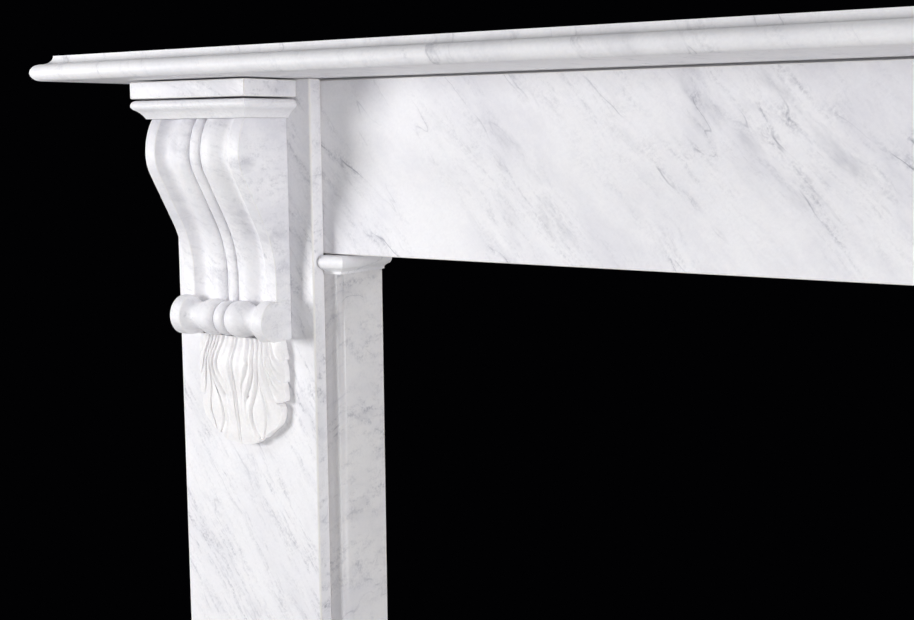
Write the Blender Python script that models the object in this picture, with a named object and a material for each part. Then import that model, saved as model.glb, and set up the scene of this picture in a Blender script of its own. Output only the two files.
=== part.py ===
"""Corbelled marble fireplace surround, built up from its separate slabs and carved pieces.

Metres, +Z up. The front faces -Y, and +X is to the right of someone who faces it.
The origin is on the floor, under the middle of the surround's bounding box.
"""
import math

import bmesh
import bpy

# Fire opening and legs
OPENING_WIDTH = 0.914
OPENING_HEIGHT = 0.914
LEG_DEPTH = 0.103
JAMB_WIDTH = 0.225
SLAB = 0.021
INNER_JAMB_SHOW = 0.024
INNER_JAMB_LAP = 0.021
INNER_JAMB_ROUND = 0.0065
INNER_CAP_HEIGHT = 0.0225
INNER_CAP_PROJECTION = 0.016
INNER_CAP_NOSE = 0.008
INNER_CAP_STEP = 0.004
INNER_CAP_FILLET = 0.003
FOOT_HEIGHT = 0.150
FOOT_FRONT = 0.014
FOOT_SIDE = 0.012

# Frieze and shelf
FRIEZE_HEIGHT = 0.206
SHELF_THICKNESS = 0.030
SHELF_CAVETTO = 0.010
SHELF_FRONT_OVERHANG = 0.163
SHELF_SIDE_OVERHANG = 0.072

# Cap over the corbel
CAP_MARGIN = 0.020
CAP_PROJECTION = 0.0905
CAP_BLOCK_HEIGHT = 0.020
CAP_MOULDING_HEIGHT = 0.022
CAP_NOSE_RADIUS = 0.006
CAP_COVE = 0.013
COVE_BEND = 0.7

# Corbel: projections from the jamb, and a section that is the same all along its face
CORBEL_MARGIN = 0.0165
CORBEL_HEIGHT = 0.2665
CORBEL_BELLY = 0.0845
CORBEL_WAIST = 0.0255
SCROLL_RADIUS = 0.0246
SCROLL_SET = 0.0034
HOLLOW_DEPTH = 0.0078
GROOVE_DEPTH = 0.0078
RIDGE_TOP = 0.0020
BEAD_TOP = 0.0034

# Acanthus leaf
LEAF_MARGIN = 0.0045
LEAF_LENGTH = 0.1366
LEAF_CROWN = 0.028
LEAF_EDGE = 0.0085
LEAF_RELIEF = 0.003

# Fits: pieces that touch, and the open joints that show as dark lines
GAP = 0.0003
SHELF_CAP_JOINT = 0.0020
FRIEZE_TOP_JOINT = 0.0025
CAP_JOINT = 0.0020
INNER_CAP_JOINT = 0.0018
INNER_CAP_TOP_JOINT = 0.0012

# Eased edges
ARRIS = 0.0012
JAMB_ARRIS = 0.0025

# Corbel proportions, as shares of its height
BELLY_DROP = 0.154
WAIST_DROP = 0.726
BELLY_TOP_CURVE = 0.274
BELLY_LOW_CURVE = 0.195
WAIST_CURVE = 0.510
CURVE_ROOM = 0.98

# Points along each curve of the corbel's side outline
CURVE_STEPS = 4
SCROLL_STEPS = 11

# Corbel section, as shares of its half width from the middle
BEAD_HALF = 0.110
RIDGE_INNER = 0.125
RIDGE_CREST = 0.300
HOLLOW_MIDDLE = 0.600
FILLET_INNER = 0.785

# Standing height of the leaf down its spine, from LEAF_EDGE at 0 to LEAF_CROWN at 1, as (down, height)
LEAF_SPINE = ((0.0, 0.5), (0.25, 1.0), (0.6, 0.636), (0.87, 0.409), (1.0, 0.273))
LEAF_SQUARENESS = 2.6
LEAF_STEPS = 10
RIB_POINTS = 12

# Ribs of the leaf's right half, from its outer edge to its spine, as points (out, down, lift): out
# is a share of the half width, down of the length, and lift of the relief
LEAF_RIBS = (
    ((0.932, 0, 0), (0.939, 0.022, 0), (0.95, 0.044, 0), (0.972, 0.095, 0)),
    ((0.865, 0, 0.333), (0.892, 0.059, 0.4), (0.946, 0.117, 0.333), (1, 0.172, 0.167)),
    ((0.804, 0, 0.133), (0.831, 0.073, 0.2), (0.885, 0.146, 0.267), (0.968, 0.187, 0.267)),
    ((0.747, 0, -0.4), (0.777, 0.066, -0.533), (0.818, 0.132, -0.667), (0.878, 0.179, -0.733),
     (0.959, 0.195, -0.733)),
    ((0.705, 0, 0.2), (0.743, 0.088, 0.333), (0.811, 0.176, 0.333), (0.905, 0.227, 0.2),
     (0.991, 0.242, 0.067)),
    ((0.686, 0, 0), (0.73, 0.102, -0.133), (0.804, 0.212, -0.2), (0.892, 0.278, -0.133), (1, 0.307, 0)),
    ((0.676, 0, 0.167), (0.727, 0.11, 0.333), (0.801, 0.234, 0.4), (0.892, 0.315, 0.4), (1, 0.378, 0.267)),
    ((0.67, 0, 0.2), (0.724, 0.117, 0.333), (0.8, 0.249, 0.467), (0.885, 0.337, 0.467), (0.97, 0.385, 0.4)),
    ((0.662, 0, -0.5), (0.72, 0.139, -0.667), (0.793, 0.264, -0.733), (0.872, 0.351, -0.733),
     (0.966, 0.394, -0.667)),
    ((0.62, 0, 0.2), (0.676, 0.132, 0.333), (0.757, 0.278, 0.333), (0.838, 0.381, 0.267),
     (0.981, 0.428, 0.067)),
    ((0.611, 0, 0), (0.673, 0.146, -0.1), (0.751, 0.307, -0.167), (0.838, 0.425, -0.133),
     (0.991, 0.476, 0)),
    ((0.6, 0, 0.2), (0.665, 0.154, 0.333), (0.743, 0.322, 0.4), (0.838, 0.461, 0.4), (0.993, 0.552, 0.267)),
    ((0.581, 0, 0.2), (0.649, 0.161, 0.333), (0.727, 0.337, 0.467), (0.804, 0.483, 0.5),
     (0.903, 0.565, 0.4)),
    ((0.565, 0, -0.533), (0.626, 0.161, -0.733), (0.696, 0.307, -0.8), (0.751, 0.447, -0.8),
     (0.804, 0.545, -0.733), (0.818, 0.571, -0.733)),
    ((0.535, 0, 0.267), (0.599, 0.176, 0.333), (0.642, 0.351, 0.333), (0.703, 0.498, 0.267),
     (0.784, 0.578, 0.133), (0.9, 0.597, 0)),
    ((0.53, 0, 0.3), (0.595, 0.183, 0.333), (0.632, 0.366, 0.333), (0.689, 0.527, 0.2),
     (0.784, 0.63, 0.067), (0.926, 0.644, 0)),
    ((0.524, 0, 0.3), (0.592, 0.183, 0.333), (0.624, 0.381, 0.333), (0.682, 0.556, 0.1),
     (0.777, 0.681, -0.167), (0.905, 0.717, -0.067)),
    ((0.519, 0, 0.3), (0.589, 0.183, 0.333), (0.616, 0.395, 0.3), (0.68, 0.586, 0.1),
     (0.75, 0.717, -0.167), (0.842, 0.783, -0.067)),
    ((0.514, 0, 0.3), (0.584, 0.19, 0.333), (0.604, 0.41, 0.3), (0.673, 0.615, 0.267),
     (0.696, 0.739, 0.133), (0.709, 0.838, 0)),
    ((0.508, 0, 0.267), (0.578, 0.205, 0.333), (0.589, 0.425, 0.3), (0.661, 0.586, 0.367),
     (0.68, 0.71, 0.367), (0.635, 0.805, 0.3), (0.6, 0.883, 0.167)),
    ((0.503, 0, 0.1), (0.57, 0.22, -0.067), (0.573, 0.439, -0.4), (0.622, 0.564, -0.533),
     (0.657, 0.673, -0.6), (0.628, 0.776, -0.567), (0.574, 0.857, -0.533), (0.554, 0.902, -0.467)),
    ((0.499, 0, 0), (0.565, 0.227, -0.2), (0.557, 0.439, -0.2), (0.574, 0.564, 0.133),
     (0.595, 0.673, 0.167), (0.568, 0.783, 0.167), (0.53, 0.914, 0.067)),
    ((0.495, 0, -0.133), (0.559, 0.234, -0.4), (0.541, 0.439, -0.4), (0.507, 0.564, 0.2),
     (0.493, 0.673, 0.267), (0.495, 0.791, 0.233), (0.501, 0.919, 0.067)),
    ((0.489, 0, -0.3), (0.554, 0.234, -0.6), (0.522, 0.425, -0.533), (0.439, 0.564, 0.067),
     (0.399, 0.673, 0.133), (0.419, 0.791, 0.133), (0.478, 0.912, 0.033)),
    ((0.484, 0, -0.533), (0.546, 0.183, -0.8), (0.538, 0.366, -0.867), (0.466, 0.512, -0.8),
     (0.374, 0.608, -0.733), (0.328, 0.695, -0.7), (0.345, 0.794, -0.667), (0.446, 0.9, -0.6)),
    ((0.435, 0, 0.333), (0.503, 0.176, 0.4), (0.5, 0.337, 0.433), (0.412, 0.483, 0.433),
     (0.311, 0.615, 0.367), (0.281, 0.717, 0.3), (0.304, 0.82, 0.233), (0.399, 0.949, 0.1)),
    ((0.384, 0, -0.6), (0.45, 0.161, -0.8), (0.468, 0.278, -0.8), (0.384, 0.41, -0.8),
     (0.262, 0.531, -0.8), (0.23, 0.63, -0.133), (0.236, 0.791, -0.133), (0.324, 0.974, -0.067)),
    ((0.332, 0, 0.333), (0.399, 0.176, 0.4), (0.405, 0.307, 0.433), (0.311, 0.425, 0.4),
     (0.214, 0.527, 0.333), (0.186, 0.644, 0.1), (0.193, 0.805, 0.067), (0.25, 0.982, 0.033)),
    ((0.282, 0, -0.733), (0.346, 0.19, -0.867), (0.359, 0.242, -0.867), (0.308, 0.337, -0.733),
     (0.212, 0.406, -0.467), (0.149, 0.549, -0.067), (0.135, 0.769, -0.033), (0.169, 0.985, 0)),
    ((0.223, 0, 0.2), (0.254, 0.161, 0.267), (0.292, 0.227, 0.267), (0.235, 0.337, 0.267),
     (0.155, 0.439, 0.133), (0.116, 0.586, 0.067), (0.105, 0.791, 0.033), (0.128, 0.99, 0.033)),
    ((0.162, 0, -0.2), (0.176, 0.117, -0.267), (0.196, 0.212, -0.267), (0.162, 0.337, -0.1),
     (0.108, 0.469, 0), (0.081, 0.615, 0), (0.074, 0.805, 0), (0.086, 0.993, 0)),
    ((0.092, 0, 0.133), (0.1, 0.146, 0.167), (0.108, 0.249, 0.133), (0.095, 0.366, 0.067),
     (0.072, 0.498, 0.033), (0.058, 0.63, 0.033), (0.054, 0.805, 0.033), (0.059, 0.996, 0.033)),
    ((0.035, 0, -0.333), (0.035, 0.22, -0.4), (0.032, 0.439, -0.4), (0.03, 0.659, -0.333),
     (0.027, 0.842, -0.267), (0.027, 0.998, -0.167)),
    ((0, 0, 0.333), (0, 0.22, 0.4), (0, 0.439, 0.4), (0, 0.659, 0.333), (0, 0.842, 0.267), (0, 1, 0.167)),
)

# Places that follow from the sizes above
SHELF_UNDERSIDE = OPENING_HEIGHT + FRIEZE_HEIGHT + FRIEZE_TOP_JOINT
SHELF_DEPTH = SHELF_FRONT_OVERHANG + LEG_DEPTH
WALL = SHELF_DEPTH / 2
JAMB_FACE = WALL - LEG_DEPTH
JAMB_HALF = JAMB_WIDTH / 2
OPENING_HALF = OPENING_WIDTH / 2
JAMB_CENTRE = OPENING_HALF + INNER_JAMB_SHOW + JAMB_HALF
BEHIND_SLAB = SLAB + GAP
CAP_HALF = JAMB_HALF - CAP_MARGIN
CORBEL_HALF = CAP_HALF - CORBEL_MARGIN
CAP_BLOCK_TOP = SHELF_UNDERSIDE - SHELF_CAP_JOINT
CAP_MOULDING_TOP = CAP_BLOCK_TOP - CAP_BLOCK_HEIGHT - CAP_JOINT
CORBEL_TOP = CAP_MOULDING_TOP - CAP_MOULDING_HEIGHT - GAP
LEAF_TOP = CORBEL_TOP - CORBEL_HEIGHT - GAP
INNER_CAP_BOTTOM = OPENING_HEIGHT - INNER_CAP_TOP_JOINT - INNER_CAP_HEIGHT

SMOOTH_ANGLE = math.radians(35)
VEINED = (0.84, 0.84, 0.86)
GREYER = (0.76, 0.76, 0.79)
CREAM = (0.88, 0.87, 0.85)


def add_object(name, bm, colour, parent=None, smooth=False):
    """Turn a bmesh into a named object with its own marble."""
    bmesh.ops.recalc_face_normals(bm, faces=bm.faces)
    if bm.calc_volume(signed=True) < 0:
        bmesh.ops.reverse_faces(bm, faces=bm.faces)
    mesh = bpy.data.meshes.new(name)
    bm.to_mesh(mesh)
    bm.free()
    if smooth:
        mesh.shade_smooth()
        mesh.set_sharp_from_angle(angle=SMOOTH_ANGLE)
    marble = bpy.data.materials.new(name + "_marble")
    marble.use_nodes = True
    shader = marble.node_tree.nodes["Principled BSDF"]
    shader.inputs["Base Color"].default_value = (*colour, 1.0)
    shader.inputs["Roughness"].default_value = 0.35
    mesh.materials.append(marble)
    obj = bpy.data.objects.new(name, mesh)
    obj.parent = parent
    bpy.context.collection.objects.link(obj)
    return obj


def slab(low, high, arris=ARRIS):
    """Sawn slab between two corners, with its arrises eased."""
    bm = bmesh.new()
    bmesh.ops.create_cube(bm, size=1.0)
    size = [abs(b - a) for a, b in zip(low, high)]
    middle = [(a + b) / 2 for a, b in zip(low, high)]
    bmesh.ops.scale(bm, vec=size, verts=bm.verts)
    bmesh.ops.translate(bm, vec=middle, verts=bm.verts)
    bmesh.ops.bevel(bm, geom=bm.edges, offset=arris, affect='EDGES', segments=1, profile=0.5, material=-1)
    return bm


def upright(outline, bottom, top):
    """Bar of one plan outline, a list of (x, y), stood up between two heights."""
    bm = bmesh.new()
    plan = bm.faces.new([bm.verts.new((x, y, bottom)) for x, y in outline])
    raised = bmesh.ops.extrude_face_region(bm, geom=[plan])["geom"]
    verts = [item for item in raised if isinstance(item, bmesh.types.BMVert)]
    bmesh.ops.translate(bm, vec=(0, 0, top - bottom), verts=verts)
    return bm


def moulded(low, high, profile, left=True, right=True):
    """Block whose front, and left and right ends, follow a profile of (inset, height)."""
    bm = bmesh.new()
    rings = []
    for inset, height in profile:
        x0 = low[0] + inset * left
        x1 = high[0] - inset * right
        y0 = low[1] + inset
        corners = [(x0, y0), (x1, y0), (x1, high[1]), (x0, high[1])]
        verts = [bm.verts.new((x, y, low[2] + height)) for x, y in corners]
        rings.append([bm.edges.new((verts[i], verts[(i + 1) % 4])) for i in range(4)])
    for lower, upper in zip(rings, rings[1:]):
        bmesh.ops.bridge_loops(bm, edges=lower + upper)
    bmesh.ops.holes_fill(bm, edges=rings[0] + rings[-1], sides=4)
    return bm


def arc(centre, radius, start, end, steps):
    """Points on an arc, both ends included; angles in degrees, 0 along the first axis."""
    angles = [math.radians(start + (end - start) * i / steps) for i in range(steps + 1)]
    return [(centre[0] + radius * math.cos(a), centre[1] + radius * math.sin(a)) for a in angles]


def nose_over_cove(height, nose, inset, bottom):
    """Profile of (inset, height): a cove that starts inset at the bottom, and a round nose over it."""
    round_part = arc((nose, height - nose), nose, 240, 90, 7)
    start = round_part[0]
    bend = (COVE_BEND * inset, bottom + COVE_BEND * (start[1] - bottom))
    ends = ((inset, bottom), bend, start)
    profile = [(inset, 0.0)] if bottom else []
    for i in range(5):
        t = i / 5
        weights = ((1 - t) ** 2, 2 * t * (1 - t), t ** 2)
        profile.append(tuple(sum(w * p[k] for w, p in zip(weights, ends)) for k in (0, 1)))
    return profile + round_part


def grid(columns, rows):
    """Grid of joined points, and the same points by (column, row)."""
    bm = bmesh.new()
    bmesh.ops.create_grid(bm, x_segments=columns - 1, y_segments=rows - 1, size=1.0)
    places = {}
    for vert in bm.verts:
        column = round((vert.co.x + 1) / 2 * (columns - 1))
        row = round((vert.co.y + 1) / 2 * (rows - 1))
        places[column, row] = vert
    return bm, places


def make_shelf():
    """Shelf: bullnose below and cavetto above, mitred round both ends."""
    nose = (SHELF_THICKNESS - SHELF_CAVETTO) / 2
    half = JAMB_CENTRE + JAMB_HALF + SHELF_SIDE_OVERHANG
    profile = arc((nose, nose), nose, 270, 90, 10)
    profile += arc((nose, SHELF_THICKNESS), SHELF_CAVETTO, 270, 360, 6)[1:]
    low = (-half, -WALL, SHELF_UNDERSIDE)
    high = (half, WALL, SHELF_UNDERSIDE + SHELF_THICKNESS)
    add_object("shelf", moulded(low, high, profile), VEINED, smooth=True)


def make_frieze():
    """Frieze, lapped behind both jambs, and the plain slab that closes the head of the opening."""
    half = OPENING_HALF + INNER_JAMB_SHOW + INNER_JAMB_LAP
    front = JAMB_FACE + BEHIND_SLAB
    top = OPENING_HEIGHT + FRIEZE_HEIGHT
    add_object("frieze", slab((-half, front, OPENING_HEIGHT), (half, front + SLAB, top)), VEINED)
    low = (-half, front + SLAB + GAP, OPENING_HEIGHT)
    high = (half, WALL, OPENING_HEIGHT + SLAB)
    add_object("frieze_soffit", slab(low, high), GREYER)


def make_leg_slabs(side, inward, leg):
    """Flat pieces of one leg: inward is 1 where the opening lies towards +X, else -1."""
    top = SHELF_UNDERSIDE - GAP
    stand = FOOT_HEIGHT + GAP
    outer = -inward * JAMB_HALF
    front = slab((-JAMB_HALF, 0, stand), (JAMB_HALF, SLAB, top), JAMB_ARRIS)
    add_object(side + "_jamb", front, VEINED, leg)
    low = (outer, BEHIND_SLAB, stand)
    high = (outer + inward * SLAB, LEG_DEPTH, top)
    add_object(side + "_outer_return", slab(low, high), GREYER, leg)

    lap = JAMB_HALF - INNER_JAMB_LAP
    face = JAMB_HALF + INNER_JAMB_SHOW
    rounded = INNER_JAMB_ROUND
    corner = arc((face - rounded, BEHIND_SLAB + rounded), rounded, -90, 0, 5)
    outline = [(lap, BEHIND_SLAB)] + corner + [(face, LEG_DEPTH), (lap, LEG_DEPTH)]
    outline = [(inward * x, y) for x, y in outline]
    bar = upright(outline, 0, INNER_CAP_BOTTOM - GAP)
    add_object(side + "_inner_jamb", bar, VEINED, leg, smooth=True)

    foot_edge = JAMB_HALF + FOOT_SIDE
    notch = lap - GAP
    outline = [(-foot_edge, -FOOT_FRONT), (foot_edge, -FOOT_FRONT), (foot_edge, SLAB)]
    outline += [(notch, SLAB), (notch, LEG_DEPTH), (-foot_edge, LEG_DEPTH)]
    outline = [(inward * x, y) for x, y in outline]
    add_object(side + "_foot_block", upright(outline, 0, FOOT_HEIGHT), VEINED, leg)


def make_inner_cap(side, inward, leg):
    """Small cap on the inner jamb: a round nose, a cove and a square fillet, mitred at the corner."""
    profile = nose_over_cove(INNER_CAP_HEIGHT, INNER_CAP_NOSE, INNER_CAP_PROJECTION - INNER_CAP_STEP,
                             INNER_CAP_FILLET)
    near_jamb = inward * (JAMB_HALF + INNER_CAP_JOINT)
    over_opening = inward * (JAMB_HALF + INNER_JAMB_SHOW + INNER_CAP_PROJECTION)
    wide = sorted((near_jamb, over_opening))
    low = (wide[0], BEHIND_SLAB - INNER_CAP_PROJECTION, INNER_CAP_BOTTOM)
    high = (wide[1], LEG_DEPTH, INNER_CAP_BOTTOM + INNER_CAP_HEIGHT)
    bm = moulded(low, high, profile, left=inward < 0, right=inward > 0)
    add_object(side + "_inner_cap", bm, VEINED, leg, smooth=True)


def make_cap(side, leg):
    """Plain block over the corbel, and the moulded slab below it."""
    low = (-CAP_HALF, -CAP_PROJECTION, CAP_BLOCK_TOP - CAP_BLOCK_HEIGHT)
    high = (CAP_HALF, -GAP, CAP_BLOCK_TOP)
    add_object(side + "_cap_block", slab(low, high), GREYER, leg)

    profile = nose_over_cove(CAP_MOULDING_HEIGHT, CAP_NOSE_RADIUS, CAP_COVE, 0.0)
    low = (-CAP_HALF, -CAP_PROJECTION, CAP_MOULDING_TOP - CAP_MOULDING_HEIGHT)
    high = (CAP_HALF, -GAP, CAP_MOULDING_TOP)
    add_object(side + "_cap_moulding", moulded(low, high, profile), VEINED, leg, smooth=True)


def corbel_section():
    """Front section of the corbel: (across, depth) from its left edge to its right edge.

    From each edge it has a flat fillet, a hollow that rises gently to a rounded ridge, and a
    narrow groove, and a bead runs down the middle.
    """
    half = []
    for i in range(3):
        across = BEAD_HALF * i / 3
        swell = math.sqrt(1 - (across / BEAD_HALF) ** 2)
        half.append((across, GROOVE_DEPTH - (GROOVE_DEPTH - BEAD_TOP) * swell))
    half.append((BEAD_HALF, GROOVE_DEPTH))
    for i in range(4):
        turn = math.radians(90 * i / 4)
        across = RIDGE_INNER + (RIDGE_CREST - RIDGE_INNER) * (1 - math.cos(turn))
        half.append((across, GROOVE_DEPTH - (GROOVE_DEPTH - RIDGE_TOP) * math.sin(turn)))
    for i in range(5):
        across = RIDGE_CREST + (HOLLOW_MIDDLE - RIDGE_CREST) * i / 5
        fall = (1 - math.cos(math.radians(180 * i / 5))) / 2
        half.append((across, RIDGE_TOP + (HOLLOW_DEPTH - RIDGE_TOP) * fall))
    for i in range(4):
        across = HOLLOW_MIDDLE + (FILLET_INNER - HOLLOW_MIDDLE) * i / 4
        half.append((across, HOLLOW_DEPTH * (1 - (i / 4) ** 2)))
    half += [(FILLET_INNER, 0.0), (1.0, 0.0)]
    whole = [(-across, depth) for across, depth in reversed(half[1:])] + half
    return [(across * CORBEL_HALF, depth) for across, depth in whole]


def corbel_outline(depth):
    """Side outline of the corbel, depth inside its outermost one, as (projection, drop).

    A belly runs through a slope into a hollow waist, and below it a scroll turns back under to
    the jamb.
    """
    belly_drop = BELLY_DROP * CORBEL_HEIGHT
    scroll_centre = (CORBEL_WAIST + SCROLL_SET, CORBEL_HEIGHT - SCROLL_RADIUS)
    waist_drop = min(WAIST_DROP * CORBEL_HEIGHT, scroll_centre[1] - SCROLL_RADIUS)
    fall = waist_drop - belly_drop
    reach = CORBEL_BELLY - CORBEL_WAIST
    # The two curves may be no larger than leaves room for the slope between them
    room = (fall ** 2 + reach ** 2) / (2 * reach)
    ease = min(1.0, CURVE_ROOM * room / ((BELLY_LOW_CURVE + WAIST_CURVE) * CORBEL_HEIGHT))
    top_curve = BELLY_TOP_CURVE * CORBEL_HEIGHT
    low_curve = BELLY_LOW_CURVE * CORBEL_HEIGHT * ease
    waist_curve = WAIST_CURVE * CORBEL_HEIGHT * ease
    both = low_curve + waist_curve
    slope_run = math.sqrt(fall ** 2 + (both - reach) ** 2 - both ** 2)
    slope = math.degrees(math.atan2(both, slope_run) - math.atan2(both - reach, fall))

    top_angle = math.degrees(math.asin(belly_drop / (top_curve - depth)))
    points = arc((CORBEL_BELLY - top_curve, belly_drop), top_curve - depth, -top_angle, 0, CURVE_STEPS)
    points += arc((CORBEL_BELLY - low_curve, belly_drop), low_curve - depth, 0, slope, CURVE_STEPS)[1:]
    waist_centre = (CORBEL_WAIST + waist_curve, waist_drop)
    waist = arc(waist_centre, waist_curve + depth, 180 + slope, 180, CURVE_STEPS)
    belly_end = points[-1]
    points.append(tuple((a + b) / 2 for a, b in zip(belly_end, waist[0])))
    points += waist
    radius = SCROLL_RADIUS - depth
    start = math.degrees(math.asin((CORBEL_WAIST - depth - scroll_centre[0]) / radius))
    points += arc(scroll_centre, radius, start - 90, 90, SCROLL_STEPS)
    points.append((0.0, scroll_centre[1] + radius))
    return points


def make_corbel(side, leg):
    """Carved corbel: its section drawn down the front outline and round the scroll."""
    section = corbel_section()
    outlines = [corbel_outline(depth) for _, depth in section]
    edge = outlines[0]
    columns = len(section) + 2
    rows = len(edge)
    scroll_top = CORBEL_HEIGHT - 2 * SCROLL_RADIUS
    scroll_first = rows - SCROLL_STEPS - 2
    bm, places = grid(columns, rows)
    for (column, row), vert in places.items():
        inner = min(max(column - 1, 0), len(section) - 1)
        projection, drop = outlines[inner][row]
        if column in (0, columns - 1):
            projection = 0.0
            if row >= scroll_first:
                turned = (row - scroll_first) / (rows - 1 - scroll_first)
                drop = scroll_top + 2 * SCROLL_RADIUS * turned
        vert.co = (section[inner][0], -GAP - projection, CORBEL_TOP - drop)
    bm.faces.new([places[c, 0] for c in range(columns)])
    around = [places[0, r] for r in range(rows)]
    around += [places[c, rows - 1] for c in range(1, columns)]
    around += [places[columns - 1, r] for r in range(rows - 2, -1, -1)]
    bm.faces.new(around)
    bmesh.ops.remove_doubles(bm, verts=bm.verts, dist=1e-6)
    add_object(side + "_corbel", bm, VEINED, leg, smooth=True)


def smooth_between(points, t):
    """Point at index t of a list, on a smooth curve through all of them."""
    last = len(points) - 1
    i = min(int(t), last - 1)
    u = t - i
    near = [points[min(max(i + k, 0), last)] for k in (-1, 0, 1, 2)]
    weights = (
        (-u ** 3 + 2 * u ** 2 - u) / 2,
        (3 * u ** 3 - 5 * u ** 2 + 2) / 2,
        (-3 * u ** 3 + 4 * u ** 2 + u) / 2,
        (u ** 3 - u ** 2) / 2,
    )
    return [sum(w * p[k] for w, p in zip(weights, near)) for k in range(len(points[0]))]


def drawn_rib(points):
    """Rib redrawn with LEAF_STEPS even steps."""
    fine = [smooth_between(points, i / RIB_POINTS) for i in range(RIB_POINTS * (len(points) - 1) + 1)]
    run = [0.0]
    for a, b in zip(fine, fine[1:]):
        run.append(run[-1] + math.dist(a[:2], b[:2]))
    even = []
    k = 0
    for i in range(LEAF_STEPS + 1):
        target = run[-1] * i / LEAF_STEPS
        while k < len(run) - 2 and run[k + 1] < target:
            k += 1
        t = (target - run[k]) / (run[k + 1] - run[k])
        even.append([a + (b - a) * t for a, b in zip(fine[k], fine[k + 1])])
    return even


def leaf_depth(out, down, lift):
    """How far a point of the leaf's face stands off the jamb."""
    height = LEAF_SPINE[-1][1]
    for (start, from_height), (end, to_height) in reversed(list(zip(LEAF_SPINE, LEAF_SPINE[1:]))):
        if down <= end:
            t = max(0.0, (down - start) / (end - start))
            height = from_height + (to_height - from_height) * t * t * (3 - 2 * t)
    crown = (LEAF_CROWN - LEAF_EDGE) * height
    return LEAF_EDGE + crown * (1 - min(1.0, out) ** LEAF_SQUARENESS) + LEAF_RELIEF * lift


def make_leaf(side, leg):
    """Acanthus leaf, glued to the jamb under the scroll: a fan of ribs that end in its leaflets."""
    ribs = [drawn_rib(points) for points in LEAF_RIBS]
    fan = [(1, rib) for rib in ribs] + [(-1, rib) for rib in reversed(ribs[:-1])]
    columns = len(fan)
    rows = LEAF_STEPS + 3
    half_width = CORBEL_HALF - LEAF_MARGIN
    bm, places = grid(columns, rows)
    for (column, row), vert in places.items():
        sign, rib = fan[column]
        out, down, lift = rib[min(max(row - 1, 0), LEAF_STEPS)]
        depth = 0 if row in (0, rows - 1) else leaf_depth(out, down, lift)
        vert.co = (sign * out * half_width, -GAP - depth, LEAF_TOP - down * LEAF_LENGTH)
    bm.faces.new([places[0, r] for r in range(rows)])
    bm.faces.new([places[columns - 1, r] for r in range(rows)])
    back = [places[c, 0] for c in range(columns)]
    back += [places[c, rows - 1] for c in range(columns - 1, -1, -1)]
    bm.faces.new(back)
    add_object(side + "_acanthus_leaf", bm, CREAM, leg, smooth=True)


def make_leg(side, inward):
    """One leg, on an empty on the floor at the middle of its jamb's face."""
    leg = bpy.data.objects.new(side + "_leg", None)
    leg.location = (-inward * JAMB_CENTRE, JAMB_FACE, 0)
    bpy.context.collection.objects.link(leg)
    make_leg_slabs(side, inward, leg)
    make_inner_cap(side, inward, leg)
    make_cap(side, leg)
    make_corbel(side, leg)
    make_leaf(side, leg)


for old in list(bpy.data.objects):
    bpy.data.objects.remove(old, do_unlink=True)
make_shelf()
make_frieze()
make_leg("left", 1)
make_leg("right", -1)
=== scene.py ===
"""White marble fireplace surround with carved corbels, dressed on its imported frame.

Metres, +Z up. The front faces -Y, the wall is at +Y, and the origin is on the floor.
"""
import math

import bmesh
import bpy
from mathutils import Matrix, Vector


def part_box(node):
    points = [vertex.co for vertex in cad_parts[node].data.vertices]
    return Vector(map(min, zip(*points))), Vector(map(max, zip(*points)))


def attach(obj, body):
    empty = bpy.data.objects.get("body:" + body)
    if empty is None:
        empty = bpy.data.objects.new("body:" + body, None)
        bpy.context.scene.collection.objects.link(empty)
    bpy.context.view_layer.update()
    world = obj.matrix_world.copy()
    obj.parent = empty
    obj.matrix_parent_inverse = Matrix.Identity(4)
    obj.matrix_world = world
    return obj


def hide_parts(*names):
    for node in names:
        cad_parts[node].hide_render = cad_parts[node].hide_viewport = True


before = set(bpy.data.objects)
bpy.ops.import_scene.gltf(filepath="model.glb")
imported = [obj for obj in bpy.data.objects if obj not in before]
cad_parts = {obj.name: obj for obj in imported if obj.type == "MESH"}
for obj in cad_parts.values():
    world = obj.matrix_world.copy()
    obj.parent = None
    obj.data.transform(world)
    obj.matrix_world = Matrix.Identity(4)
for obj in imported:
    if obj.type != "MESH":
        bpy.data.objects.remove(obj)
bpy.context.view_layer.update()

# Camera
# A plain perspective camera at the photograph's place: right of the middle, a little under the
# shelf, looking back at the left leg. The image is 914 x 620.
IMAGE_WIDTH = 914
IMAGE_HEIGHT = 620
FOCAL_PIXELS = 1356.2
CENTRE_X = 457.0
CENTRE_Y = 294.2
CAMERA_PLACE = (0.5595, -1.2080, 1.0593)
CAMERA_TURN = (83.125, 0.542, 33.922)
SENSOR_MM = 36.0
NEAR_CLIP = 0.05

camera_data = bpy.data.cameras.new("camera")
camera_data.sensor_width = SENSOR_MM
camera_data.lens = FOCAL_PIXELS / IMAGE_WIDTH * SENSOR_MM
camera_data.shift_x = (IMAGE_WIDTH / 2 - CENTRE_X) / IMAGE_WIDTH
camera_data.shift_y = (CENTRE_Y - IMAGE_HEIGHT / 2) / IMAGE_WIDTH
camera_data.clip_start = NEAR_CLIP
camera = bpy.data.objects.new("camera", camera_data)
camera.location = CAMERA_PLACE
camera.rotation_euler = [math.radians(angle) for angle in CAMERA_TURN]
bpy.context.scene.collection.objects.link(camera)
bpy.context.scene.camera = camera

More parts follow.
